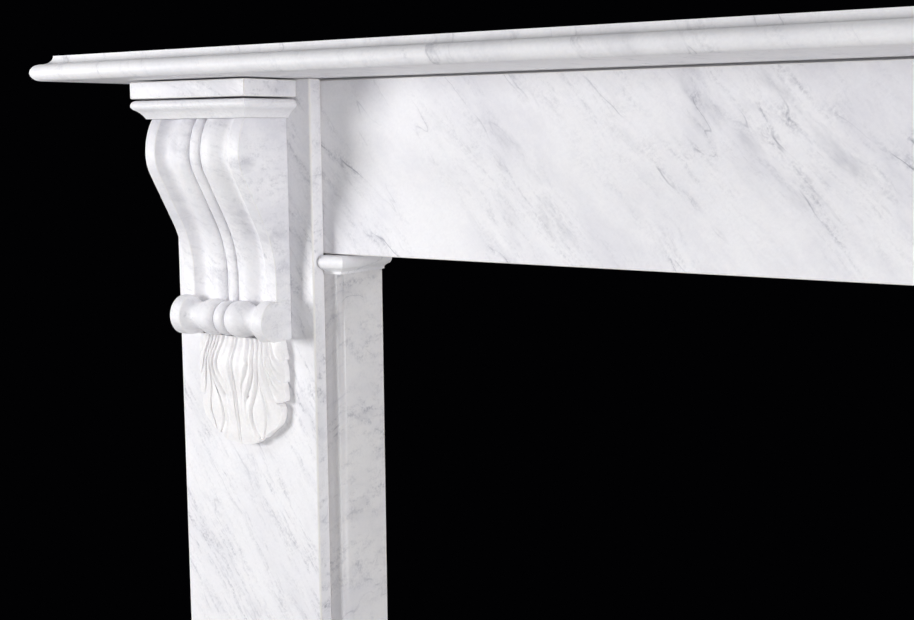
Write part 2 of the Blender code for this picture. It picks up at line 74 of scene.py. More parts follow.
# Plain slabs
# Sawn and honed marble: jambs, the returns behind them, the frieze, its soffit, the cap blocks.
# Each is one slab whose arrises are eased by hand with a stone, so each edge takes a thin light.
ARRIS_STEPS = 3
ARRIS_PROFILE = 0.5
HONED_WHITE = "#F3F2F5"
CLOUD_GREY = "#D3D2DB"
VEIN_GREY = "#8C8D9B"
# Painted highlight: a warm cream tint laid on the rounded arrises for the light they catch
ARRIS_HIGHLIGHT_CREAM = "#F5F2EE"
ARRIS_HIGHLIGHT_SHARE = 0.7
SMOOTHEST = 0.46
ROUGHEST = 0.60
CRYSTALS_PER_METRE = 600.0
CRYSTAL_DETAIL = 2.0
CRYSTAL_RELIEF = 0.0003
CRYSTAL_STRENGTH = 0.12
MARBLE_IOR = 1.5
GLOW_SHARE = 0.15
GLOW_TINT = (1.0, 0.85, 0.7)
GLOW_REACH = 0.003

# Direction of the veins, shift of the pattern for one seed, and the drifts that bend it: scale, reach
VEIN_LEAN = 20.0
SEED_SHIFT = (1.0, 1.7, 2.3)
DRIFTS = ((5.0, 0.035), (45.0, 0.005))
DRIFT_DETAIL = 2.0
# How much slower a pattern changes along the veins, into the block and across the veins
STRETCHES = {"drawn": (0.11, 0.35, 1.0), "spread": (0.35, 0.5, 1.0)}
# Stretch, scale, detail and roughness of each pattern, and the levels where it starts and is full
PATTERNS = {
    "beds": ("drawn", 17.0, 3.0, 0.55, 0.38, 0.66),
    "patches": ("even", 11.0, 2.0, 0.5, 0.38, 0.62),
    "haze": ("spread", 13.0, 6.0, 0.62, 0.40, 0.74),
    "smears": ("spread", 32.0, 4.0, 0.6, 0.50, 0.76),
    "specks": ("even", 280.0, 4.0, 0.65, 0.30, 0.70),
    "hatch": ("drawn", 150.0, 4.0, 0.6, 0.44, 0.74),
    "dashes": ("drawn", 260.0, 3.0, 0.55, 0.60, 0.76),
    "breaks": ("drawn", 60.0, 2.0, 0.5, 0.42, 0.62),
    "fray": ("drawn", 110.0, 5.0, 0.7, 0.36, 0.70),
}
# Veins run where a slow pattern crosses its middle level: a fine thread in a wide pale halo
VEIN_FIELD = {"Scale": 21.0, "Detail": 3.0, "Roughness": 0.45}
MIDDLE_LEVEL = 0.5
THREAD_HALF = 0.008
HALO_HALF = 0.05
# How strongly each pattern greys the stone
HAZE_SHARE = 0.50
SMEAR_SHARE = 0.30
SPECK_SHARE = 0.16
HATCH_SHARE = 0.85
DASH_SHARE = 0.55
HALO_SHARE = 0.9


def linear(colour):
    """sRGB hex colour as the linear colour that a shader reads."""
    values = [int(colour[i:i + 2], 16) / 255 for i in (1, 3, 5)]
    return [v / 12.92 if v <= 0.04045 else ((v + 0.055) / 1.055) ** 2.4 for v in values] + [1.0]


def add(tree, kind, inputs, **settings):
    """Add a node; each input is a value or another node's output."""
    item = tree.nodes.new(kind)
    for name, value in settings.items():
        setattr(item, name, value)
    for socket, value in inputs.items():
        if isinstance(value, bpy.types.NodeSocket):
            tree.links.new(value, item.inputs[socket])
        else:
            item.inputs[socket].default_value = value
    return item


def noise(tree, place, scale, detail, roughness, low, high):
    """Cloud pattern of one size, 0 where it is under low and 1 where it is over high."""
    cloud = add(tree, "ShaderNodeTexNoise",
                {"Vector": place, "Scale": scale, "Detail": detail, "Roughness": roughness}).outputs[0]
    return add(tree, "ShaderNodeMapRange", {0: cloud, 1: low, 2: high},
               interpolation_type="SMOOTHSTEP").outputs[0]


def product(tree, *factors):
    """All the factors multiplied."""
    result = factors[0]
    for factor in factors[1:]:
        result = add(tree, "ShaderNodeMath", {0: result, 1: factor}, operation="MULTIPLY").outputs[0]
    return result


def carrara(name, fall, seed, streaks=1.0, clouds=1.0, veins=0.6, ground=HONED_WHITE, polish=0.0):
    """Honed Carrara marble: grey clouds, short streaks and long broken veins, all running one way.

    fall is how steeply the veins drop to the right across the front, in degrees. seed moves the
    pattern, because no two pieces are cut from one place in the block. Streaks are 3 to 6 mm wide
    and nine times as long, veins 1 to 3 mm wide. polish is taken off the roughness.
    """
    stone = bpy.data.materials.new(name)
    stone.use_nodes = True
    tree = stone.node_tree
    shader = tree.nodes["Principled BSDF"]
    place = add(tree, "ShaderNodeTexCoord", {}).outputs["Object"]
    turn = (0.0, math.radians(-fall), math.radians(VEIN_LEAN))
    shift = [seed * step for step in SEED_SHIFT]
    turned = add(tree, "ShaderNodeMapping", {0: place, 1: shift, 2: turn}).outputs[0]
    for scale, reach in DRIFTS:
        drift = add(tree, "ShaderNodeTexNoise", {"Vector": turned, "Scale": scale, "Detail": DRIFT_DETAIL})
        pull = add(tree, "ShaderNodeVectorMath", {0: drift.outputs["Color"], 1: (reach, reach, reach)},
                   operation="MULTIPLY").outputs[0]
        turned = add(tree, "ShaderNodeVectorMath", {0: turned, 1: pull}, operation="ADD").outputs[0]
    fields = {"even": turned}
    for field, stretch in STRETCHES.items():
        fields[field] = add(tree, "ShaderNodeVectorMath", {0: turned, 1: stretch},
                            operation="MULTIPLY").outputs[0]
    cover = {}
    for pattern, (field, *values) in PATTERNS.items():
        cover[pattern] = noise(tree, fields[field], *values)

    level = add(tree, "ShaderNodeTexNoise", {"Vector": fields["drawn"], **VEIN_FIELD}).outputs[0]
    level = add(tree, "ShaderNodeMath", {0: level, 1: MIDDLE_LEVEL}, operation="SUBTRACT").outputs[0]
    level = add(tree, "ShaderNodeMath", {0: level}, operation="ABSOLUTE").outputs[0]
    for pattern, half in (("thread", THREAD_HALF), ("halo", HALO_HALF)):
        cover[pattern] = add(tree, "ShaderNodeMapRange", {0: level, 1: half, 2: 0.0},
                             interpolation_type="SMOOTHSTEP").outputs[0]

    body = linear(ground)
    for grey, share, *patterns in (
            (CLOUD_GREY, HAZE_SHARE * clouds, "haze"),
            (VEIN_GREY, SMEAR_SHARE * clouds, "smears", "beds"),
            (CLOUD_GREY, SPECK_SHARE, "specks"),
            (VEIN_GREY, HATCH_SHARE * streaks, "hatch", "beds", "specks"),
            (VEIN_GREY, DASH_SHARE * streaks, "dashes", "patches", "beds"),
            (VEIN_GREY, HALO_SHARE * veins, "halo", "fray", "specks", "patches"),
            (VEIN_GREY, veins, "thread", "breaks", "patches")):
        mask = product(tree, *[cover[pattern] for pattern in patterns], share)
        body = add(tree, "ShaderNodeMix", {0: mask, 6: body, 7: linear(grey)},
                   data_type="RGBA").outputs[2]
    # Painted highlight: the rounded arrises get a warm cream tint that stands in for the light they catch
    arris_highlight = add(tree, "ShaderNodeAttribute", {}, attribute_name="arris").outputs["Fac"]
    arris_highlight = product(tree, arris_highlight, ARRIS_HIGHLIGHT_SHARE)
    body = add(tree, "ShaderNodeMix", {0: arris_highlight, 6: body, 7: linear(ARRIS_HIGHLIGHT_CREAM)},
               data_type="RGBA").outputs[2]
    tree.links.new(body, shader.inputs["Base Color"])

    # Honed, not polished: crystals 1 to 2 mm across catch the light a little differently
    crystals = add(tree, "ShaderNodeTexNoise",
                   {"Vector": place, "Scale": CRYSTALS_PER_METRE, "Detail": CRYSTAL_DETAIL}).outputs[0]
    rough = add(tree, "ShaderNodeMapRange",
                {0: crystals, 3: SMOOTHEST - polish, 4: ROUGHEST - polish}).outputs[0]
    tree.links.new(rough, shader.inputs["Roughness"])
    grain = add(tree, "ShaderNodeBump",
                {"Strength": CRYSTAL_STRENGTH, "Distance": CRYSTAL_RELIEF, "Height": crystals})
    tree.links.new(grain.outputs[0], shader.inputs["Normal"])
    shader.inputs["IOR"].default_value = MARBLE_IOR
    shader.inputs["Subsurface Weight"].default_value = GLOW_SHARE
    shader.inputs["Subsurface Radius"].default_value = GLOW_TINT
    shader.inputs["Subsurface Scale"].default_value = GLOW_REACH
    return stone


def piece(name, bm, stone, node):
    """Make a mesh the shown piece for one CAD node, in its own stone."""
    mesh = bpy.data.meshes.new(name)
    bm.to_mesh(mesh)
    bm.free()
    mesh.materials.append(stone)
    obj = bpy.data.objects.new(name, mesh)
    bpy.context.scene.collection.objects.link(obj)
    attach(obj, "root")
    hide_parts(node)
    return obj


def ease_arrises(bm, arris):
    """Round every edge, and mark the middle of each rounding, where a painted cream highlight is tinted.
    """
    eased = bmesh.ops.bevel(bm, geom=bm.edges, offset=arris, affect='EDGES', segments=ARRIS_STEPS,
                            profile=ARRIS_PROFILE, material=-1)["faces"]
    for face in eased:
        face.smooth = True
    highlight_layer = bm.verts.layers.float.new("arris")
    rounding = set(eased)
    for vert in bm.verts:
        vert[highlight_layer] = float(all(face in rounding for face in vert.link_faces))


def eased_slab(node, arris):
    """Slab the size of its CAD node, with rounded arrises: flat faces stay flat-shaded."""
    low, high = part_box(node)
    bm = bmesh.new()
    bmesh.ops.create_cube(bm, size=1.0)
    bmesh.ops.scale(bm, vec=high - low, verts=bm.verts)
    bmesh.ops.translate(bm, vec=(low + high) / 2, verts=bm.verts)
    ease_arrises(bm, arris)
    return bm


# Node, radius of its arrises, fall of its veins, seed, and how strong streaks, clouds and veins are
SLABS = (
    ("left_jamb", 0.0028, 56, 8.3, 1.0, 0.7, 0.3),
    ("right_jamb", 0.0028, 50, 4.1, 1.0, 0.8, 0.4),
    ("frieze", 0.0015, 48, 2.2, 0.35, 1.1, 0.75),
    ("left_cap_block", 0.0015, 30, 3.4, 0.8, 1.2, 0.3),
    ("right_cap_block", 0.0015, 35, 5.2, 0.8, 1.0, 0.4),
    ("left_outer_return", 0.0012, 60, 6.1, 0.7, 1.0, 0.4),
    ("right_outer_return", 0.0012, 50, 7.3, 0.7, 1.0, 0.4),
    ("frieze_soffit", 0.0012, 20, 8.2, 0.7, 1.0, 0.4),
)
for node, arris, fall, seed, streaks, clouds, veins in SLABS:
    stone = carrara(node + "_honed_carrara", fall, seed, streaks, clouds, veins)
    piece(node + "_slab", eased_slab(node, arris), stone, node)

# Foot blocks and inner jambs
# Bars of one plan outline, stood upright. The foot block is a plain plinth, notched behind for the
# inner jamb, whose inner front corner is rounded over on the saw.
INNER_GROUND = "#E9E7E8"
INNER_POLISH = 0.20
INNER_JAMB_FALL = -40
INNER_JAMB_ROUND = 0.0065
ROUND_STEPS = 10
ROUND_FACE_AREA = 0.01
FOOT_ARRIS = 0.0015
JOINT = 0.0003


def arc(centre, radius, start, end, steps):
    """Points on an arc, both ends included; angles in degrees."""
    angles = [math.radians(start + (end - start) * i / steps) for i in range(steps + 1)]
    return [(centre[0] + radius * math.cos(a), centre[1] + radius * math.sin(a)) for a in angles]


def upright(outline, bottom, top):
    """Bar of one plan outline, a list of (x, y), between two heights."""
    bm = bmesh.new()
    plan = bm.faces.new([bm.verts.new((x, y, bottom)) for x, y in outline])
    raised = bmesh.ops.extrude_face_region(bm, geom=[plan])["geom"]
    verts = [item for item in raised if isinstance(item, bmesh.types.BMVert)]
    bmesh.ops.translate(bm, vec=(0, 0, top - bottom), verts=verts)
    bmesh.ops.recalc_face_normals(bm, faces=bm.faces)
    return bm


for side, inward in (("left", 1), ("right", -1)):
    low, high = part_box(side + "_inner_jamb")
    face, lap = (high.x, low.x) if inward > 0 else (low.x, high.x)
    rounded = INNER_JAMB_ROUND
    corner = arc((rounded, rounded), rounded, -90, 0, ROUND_STEPS)
    outline = [(lap, low.y)]
    outline += [(face + inward * (x - 2 * rounded), low.y + y) for x, y in corner]
    outline += [(face, high.y), (lap, high.y)]
    bm = upright(outline, low.z, high.z)
    for poly in bm.faces:
        is_level = abs(poly.normal.z) > 0.5
        poly.smooth = not is_level and poly.calc_area() < ROUND_FACE_AREA
    stone = carrara(side + "_inner_jamb_honed_carrara", fall=INNER_JAMB_FALL, seed=2.7 + inward,
                    streaks=0.9, clouds=1.0, veins=0.4, ground=INNER_GROUND, polish=INNER_POLISH)
    piece(side + "_inner_jamb_bar", bm, stone, side + "_inner_jamb")

    low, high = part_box(side + "_foot_block")
    jamb_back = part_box(side + "_jamb")[1].y
    bar_low, bar_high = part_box(side + "_inner_jamb")
    notch = bar_low.x - JOINT if inward > 0 else bar_high.x + JOINT
    inner, outer = (high.x, low.x) if inward > 0 else (low.x, high.x)
    outline = [(outer, low.y), (inner, low.y), (inner, jamb_back), (notch, jamb_back), (notch, high.y),
               (outer, high.y)]
    bm = upright(outline, low.z, high.z)
    ease_arrises(bm, FOOT_ARRIS)
    stone = carrara(side + "_foot_honed_carrara", fall=40, seed=9.1 + inward)
    piece(side + "_foot_plinth", bm, stone, side + "_foot_block")

# Moulded slabs
# Shelf, cap mouldings and inner caps: a profile run along the front edge with a diamond router,
# returned round the free ends on mitres, then honed by hand: crisp arrises and smooth rounds.
NOSE_STEPS = 20
COVE_STEPS = 12
SHELF_CAVETTO = 0.010
CAP_NOSE_RADIUS = 0.006
CAP_COVE = 0.013
INNER_CAP_NOSE = 0.008
INNER_CAP_FILLET = 0.003
INNER_CAP_INSET = 0.012
COVE_BEND = 0.7
LEVEL_FACE = 0.995
MOULDED_CREASE = math.radians(30)


def moulded(low, high, profile, left=True, right=True):
    """Block whose front, and left and right ends, follow a profile of (inset, height)."""
    bm = bmesh.new()
    rings = []
    for inset, height in profile:
        x0 = low[0] + inset * left
        x1 = high[0] - inset * right
        y0 = low[1] + inset
        corners = [(x0, y0), (x1, y0), (x1, high[1]), (x0, high[1])]
        verts = [bm.verts.new((x, y, low[2] + height)) for x, y in corners]
        rings.append([bm.edges.new((verts[i], verts[(i + 1) % 4])) for i in range(4)])
    for lower, upper in zip(rings, rings[1:]):
        bmesh.ops.bridge_loops(bm, edges=lower + upper)
    bmesh.ops.holes_fill(bm, edges=rings[0] + rings[-1], sides=4)
    bmesh.ops.recalc_face_normals(bm, faces=bm.faces)
    for poly in bm.faces:
        poly.smooth = abs(poly.normal.z) < LEVEL_FACE
    for edge in bm.edges:
        edge.smooth = edge.calc_face_angle() < MOULDED_CREASE
    return bm


def bent(ends, steps):
    """Points on a bend from the first to the last of three ends, pulled towards the middle one."""
    points = []
    for i in range(steps + 1):
        t = i / steps
        weights = ((1 - t) ** 2, 2 * t * (1 - t), t ** 2)
        points.append(tuple(sum(w * p[k] for w, p in zip(weights, ends)) for k in (0, 1)))
    return points


def nose_over_cove(height, nose, inset, bottom):
    """Profile of (inset, height): a cove that starts inset at the bottom, and a round nose over it."""
    round_part = arc((nose, height - nose), nose, 240, 90, NOSE_STEPS)
    start = round_part[0]
    middle = (COVE_BEND * inset, bottom + COVE_BEND * (start[1] - bottom))
    cove = bent(((inset, bottom), middle, start), COVE_STEPS)
    fillet = [(inset, 0.0)] if bottom else []
    return fillet + cove[:-1] + round_part


low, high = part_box("shelf")
nose = (high.z - low.z - SHELF_CAVETTO) / 2
profile = arc((nose, nose), nose, 270, 90, NOSE_STEPS)
profile += arc((nose, high.z - low.z), SHELF_CAVETTO, 270, 360, COVE_STEPS)[1:]
stone = carrara("shelf_honed_carrara", fall=60, seed=10.4, streaks=0.15, clouds=0.7, veins=0.35)
piece("shelf_slab", moulded(low, high, profile), stone, "shelf")

for side, inward in (("left", 1), ("right", -1)):
    low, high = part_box(side + "_cap_moulding")
    profile = nose_over_cove(high.z - low.z, CAP_NOSE_RADIUS, CAP_COVE, 0.0)
    stone = carrara(side + "_cap_moulding_honed_carrara", fall=40, seed=13.2 + inward, streaks=0.3,
                    clouds=0.3, veins=0.15)
    piece(side + "_cap_mould", moulded(low, high, profile), stone, side + "_cap_moulding")

    low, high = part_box(side + "_inner_cap")
    profile = nose_over_cove(high.z - low.z, INNER_CAP_NOSE, INNER_CAP_INSET, INNER_CAP_FILLET)
    bm = moulded(low, high, profile, left=inward < 0, right=inward > 0)
    stone = carrara(side + "_inner_cap_honed_carrara", fall=30, seed=12.5 + inward, streaks=0.6,
                    clouds=1.0, veins=0.3)
    piece(side + "_inner_cap_mould", bm, stone, side + "_inner_cap")

# Corbels
# Each is carved from one block: an S-shaped front that ends in a scroll. The front carries a bead
# down the middle between two rounded ridges, a hollow beside each ridge, and a flat edge fillet.

# How far belly and waist stand off the jamb, and the scroll
CORBEL_BELLY = 0.0845
CORBEL_WAIST = 0.0255
SCROLL_RADIUS = 0.0246
SCROLL_SET = 0.0034
# Drops and radii of the side outline, as shares of the corbel's height
BELLY_DROP = 0.154
WAIST_DROP = 0.726
BELLY_TOP_CURVE = 0.274
BELLY_LOW_CURVE = 0.195
WAIST_CURVE = 0.510
# Places across the front, as shares of half its width
BEAD_HALF = 0.110
RIDGE_INNER = 0.125
RIDGE_CREST = 0.300
HOLLOW_MIDDLE = 0.600
FILLET_INNER = 0.785
# Depths under the face of the fillet, how far its edges are eased, and how far a painted highlight reaches
# from them
HOLLOW_DEPTH = 0.0078
GROOVE_DEPTH = 0.0078
RIDGE_TOP = 0.0020
BEAD_TOP = 0.0034
FILLET_ARRIS = 0.0014
CORBEL_ARRIS = 0.0012
ARRIS_HIGHLIGHT_REACH = 0.0006
# Steps of the mesh, and the limits for its flat sides, welds and creases
BEAD_STEPS = 8
CARVING_STEPS = 24
FILLET_STEPS = 6
CORNER_STEPS = 4
SCROLL_STEPS = 56
SIDE_FACE = 0.999
SIDE_SKIN = 1e-5
WELD = 1e-6
CORBEL_CREASE = math.radians(40)


def corbel_section(half_width):
    """Front section, (across, depth), from the left edge to the right edge."""
    half = []
    for i in range(BEAD_STEPS + 1):
        turn = math.radians(90 * i / BEAD_STEPS)
        rise = (GROOVE_DEPTH - BEAD_TOP) * math.cos(turn)
        half.append((BEAD_HALF * math.sin(turn), GROOVE_DEPTH - rise))
    for i in range(CARVING_STEPS // 2):
        turn = math.radians(180 * i / CARVING_STEPS)
        across = RIDGE_INNER + (RIDGE_CREST - RIDGE_INNER) * (1 - math.cos(turn))
        half.append((across, GROOVE_DEPTH - (GROOVE_DEPTH - RIDGE_TOP) * math.sin(turn)))
    for i in range(CARVING_STEPS):
        across = RIDGE_CREST + (HOLLOW_MIDDLE - RIDGE_CREST) * i / CARVING_STEPS
        fall = (1 - math.cos(math.pi * i / CARVING_STEPS)) / 2
        half.append((across, RIDGE_TOP + (HOLLOW_DEPTH - RIDGE_TOP) * fall))
    eased = FILLET_ARRIS / half_width
    wall_width = FILLET_INNER - HOLLOW_MIDDLE
    for i in range(CARVING_STEPS // 2):
        t = (1 - eased / wall_width) * i / (CARVING_STEPS // 2)
        half.append((HOLLOW_MIDDLE + wall_width * t, HOLLOW_DEPTH * (1 - t ** 2)))
    t = 1 - eased / wall_width
    foot = (FILLET_INNER - eased, HOLLOW_DEPTH * (1 - t ** 2))
    half += bent((foot, (FILLET_INNER, 0.0), (FILLET_INNER + eased, 0.0)), FILLET_STEPS)
    arris = CORBEL_ARRIS / half_width
    for i in range(CORNER_STEPS + 1):
        turn = math.radians(90 * i / CORNER_STEPS)
        half.append((1 - arris + arris * math.sin(turn), CORBEL_ARRIS * (1 - math.cos(turn))))
    whole = [(-across, depth) for across, depth in reversed(half[1:])] + half
    return [(across * half_width, depth) for across, depth in whole]


def corbel_outline(depth, height):
    """Side outline, depth inside its outermost one, as (projection, drop)."""
    belly_drop = BELLY_DROP * height
    scroll_centre = (CORBEL_WAIST + SCROLL_SET, height - SCROLL_RADIUS)
    waist_drop = WAIST_DROP * height
    fall = waist_drop - belly_drop
    reach = CORBEL_BELLY - CORBEL_WAIST
    top_curve = BELLY_TOP_CURVE * height
    low_curve = BELLY_LOW_CURVE * height
    waist_curve = WAIST_CURVE * height
    both = low_curve + waist_curve
    slope_run = math.sqrt(fall ** 2 + (both - reach) ** 2 - both ** 2)
    slope = math.degrees(math.atan2(both, slope_run) - math.atan2(both - reach, fall))
    top_angle = math.degrees(math.asin(belly_drop / (top_curve - depth)))
    points = arc((CORBEL_BELLY - top_curve, belly_drop), top_curve - depth, -top_angle, 0, CARVING_STEPS)
    points += arc((CORBEL_BELLY - low_curve, belly_drop), low_curve - depth, 0, slope, CARVING_STEPS)[1:]
    waist_centre = (CORBEL_WAIST + waist_curve, waist_drop)
    waist = arc(waist_centre, waist_curve + depth, 180 + slope, 180, CARVING_STEPS)
    points.append(tuple((a + b) / 2 for a, b in zip(points[-1], waist[0])))
    points += waist
    radius = SCROLL_RADIUS - depth
    start = math.degrees(math.asin((CORBEL_WAIST - depth - scroll_centre[0]) / radius))
    points += arc(scroll_centre, radius, start - 90, 90, SCROLL_STEPS)
    points.append((0.0, scroll_centre[1] + radius))
    return points


def grid(columns, rows):
    """Grid of joined points, and the same points by (column, row)."""
    bm = bmesh.new()
    bmesh.ops.create_grid(bm, x_segments=columns - 1, y_segments=rows - 1, size=1.0)
    places = {}
    for vert in bm.verts:
        column = round((vert.co.x + 1) / 2 * (columns - 1))
        row = round((vert.co.y + 1) / 2 * (rows - 1))
        places[column, row] = vert
    return bm, places


def close_carving(bm, crease):
    """Weld the seams, turn every face outwards, and keep edges sharper than crease unsmoothed."""
    bmesh.ops.remove_doubles(bm, verts=bm.verts, dist=WELD)
    bmesh.ops.recalc_face_normals(bm, faces=bm.faces)
    if bm.calc_volume(signed=True) < 0:
        bmesh.ops.reverse_faces(bm, faces=bm.faces)
    for edge in bm.edges:
        if len(edge.link_faces) == 2:
            edge.smooth = edge.calc_face_angle() < crease


def carved_corbel(node):
    """Section drawn down the outline and round the scroll, within its CAD node's box."""
    low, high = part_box(node)
    middle = (low.x + high.x) / 2
    half = (high.x - low.x) / 2
    height = high.z - low.z
    section = corbel_section(half)
    outlines = [corbel_outline(depth, height) for _, depth in section]
    columns = len(section) + 2
    rows = len(outlines[0])
    scroll_first = rows - SCROLL_STEPS - 2
    bm, places = grid(columns, rows)
    for (column, row), vert in places.items():
        inner = min(max(column - 1, 0), len(section) - 1)
        projection, drop = outlines[inner][row]
        if column in (0, columns - 1):
            projection = 0.0
            if row >= scroll_first:
                turned = (row - scroll_first) / (rows - 1 - scroll_first)
                drop = height - 2 * SCROLL_RADIUS * (1 - turned)
        vert.co = (middle + section[inner][0], high.y - projection, high.z - drop)
    top = bm.faces.new([places[c, 0] for c in range(columns)])
    around = [places[0, r] for r in range(rows)]
    around += [places[c, rows - 1] for c in range(1, columns)]
    around += [places[columns - 1, r] for r in range(rows - 2, -1, -1)]
    back = bm.faces.new(around)
    bm.normal_update()
    for poly in bm.faces:
        poly.smooth = poly is not top and poly is not back and abs(poly.normal.x) < SIDE_FACE
    close_carving(bm, CORBEL_CREASE)
    # Painted highlight: the fillet edges and the outer arrises are marked for a warm cream tint
    highlight_layer = bm.verts.layers.float.new("arris")
    for vert in bm.verts:
        across = abs(vert.co.x - middle)
        near = min(abs(across - FILLET_INNER * half), abs(across - half + CORBEL_ARRIS / 2))
        vert[highlight_layer] = max(0.0, 1 - near / ARRIS_HIGHLIGHT_REACH) if across < half - SIDE_SKIN else 0.0
    return bm


for side, seed in (("left", 13.3), ("right", 15.8)):
    stone = carrara(side + "_corbel_carved_carrara", fall=25, seed=seed, streaks=0.5, clouds=1.35,
                    veins=0.12)
    piece(side + "_corbel_carved", carved_corbel(side + "_corbel"), stone, side + "_corbel")

# Acanthus leaves
# Each is carved from a whiter, unveined piece and glued to the jamb under the scroll: a fan of
# ribs and hollows that end in three side leaflets, two lobes and a tip, with a spine in the middle.
CARVED_WHITE = "#F9F7F8"
MM = 0.001
# How far the spine stands off the jamb in mm, at shares of the leaf's length
LEAF_SPINE = ((0.0, 17), (0.25, 28), (0.6, 20), (0.87, 15), (1.0, 12))
LEAF_EDGE_MM = 8.5
LEAF_THINNEST_MM = 1.0
LEAF_DRAWN_HALF_MM = 74.4
LEAF_SQUARENESS = 2.6
EDGE_SOFTENING = 0.7
# Drilled eyes of the right half, each (out, down) in mm
EYES = ((20.0, 29.8), (19.2, 73.0))
EYE_DEPTH_MM = 2.4
EYE_RADIUS_MM = 1.5
LEAF_RIB_STEPS = 5
LEAF_LONG_STEPS = 70
FINE_STEPS = 20
LEAF_CREASE = math.radians(50)
